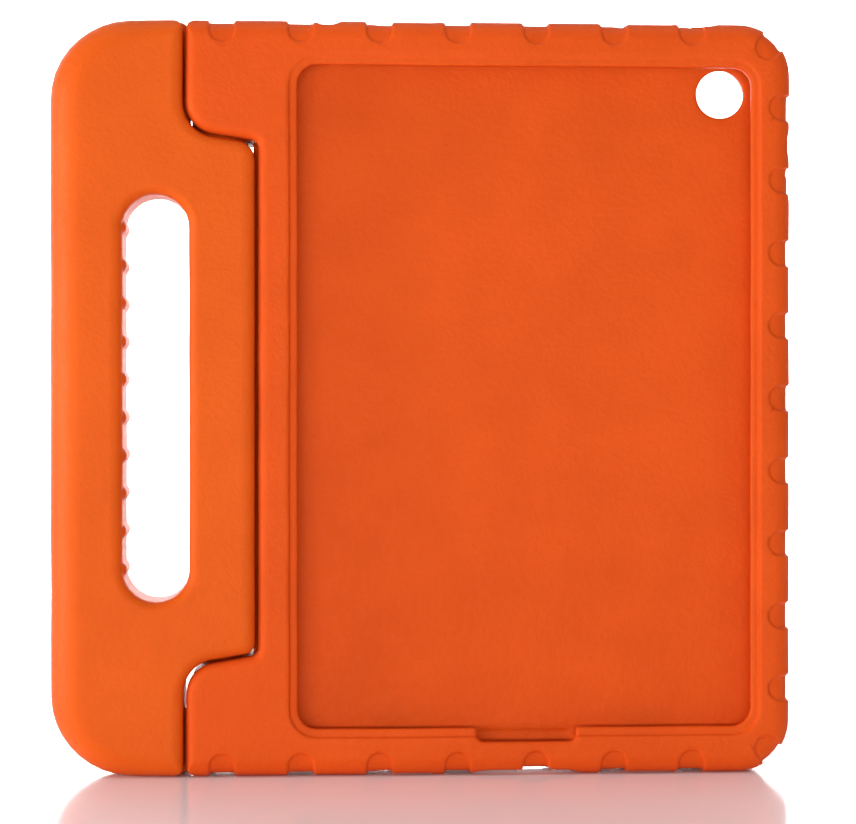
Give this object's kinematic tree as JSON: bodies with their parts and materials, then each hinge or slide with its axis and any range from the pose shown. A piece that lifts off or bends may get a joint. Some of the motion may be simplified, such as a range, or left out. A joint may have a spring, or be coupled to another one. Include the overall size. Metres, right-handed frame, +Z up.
{
  "type": "tablet case",
  "caption": "Shock-absorbing foam tablet case with a front window, scalloped edges and a carrying handle that swings back to make a stand.",
  "frame": {"origin": "middle of the bounding box on the ground plane the case stands on", "axes": "+X to the right seen from the front, +Y from the front window towards the back, +Z up"},
  "size_m": [0.2722, 0.028, 0.276],
  "materials": {
    "body_foam": "matte",
    "handle_foam": "matte",
    "bush_nylon": "satin",
    "washer_nylon": "satin",
    "pin_steel": "satin",
    "cap_plastic": "satin"
  },
  "bodies": {
    "case": {"foam_body": "body_foam", "upper_lug_bush": "bush_nylon", "lower_lug_bush": "bush_nylon", "upper_washer": "washer_nylon", "lower_washer": "washer_nylon", "upper_hinge_pin": "pin_steel", "lower_hinge_pin": "pin_steel", "upper_pin_cap": "cap_plastic", "lower_pin_cap": "cap_plastic"},
    "handle": {"foam_handle": "handle_foam", "upper_handle_bush": "bush_nylon", "lower_handle_bush": "bush_nylon"},
    "power_button": {"power_pad": "body_foam"},
    "volume_up_button": {"volume_up_pad": "body_foam"},
    "volume_down_button": {"volume_down_pad": "body_foam"}
  },
  "joints": [
    {"name": "handle_fold", "type": "hinge", "parent": "case", "child": "handle", "pos_m": [-0.0731, 0.006, 0.138], "axis": [0, 0, -1], "range_deg": [0, 105]},
    {"name": "power_press", "type": "slide", "parent": "case", "child": "power_button", "axis": [0, 0, -1], "range_m": [0, 0.0012], "stiffness_N_per_m": 400},
    {"name": "volume_up_press", "type": "slide", "parent": "case", "child": "volume_up_button", "axis": [-1, 0, 0], "range_m": [0, 0.0012], "stiffness_N_per_m": 400},
    {"name": "volume_down_press", "type": "slide", "parent": "case", "child": "volume_down_button", "axis": [-1, 0, 0], "range_m": [0, 0.0012], "stiffness_N_per_m": 400}
  ]
}
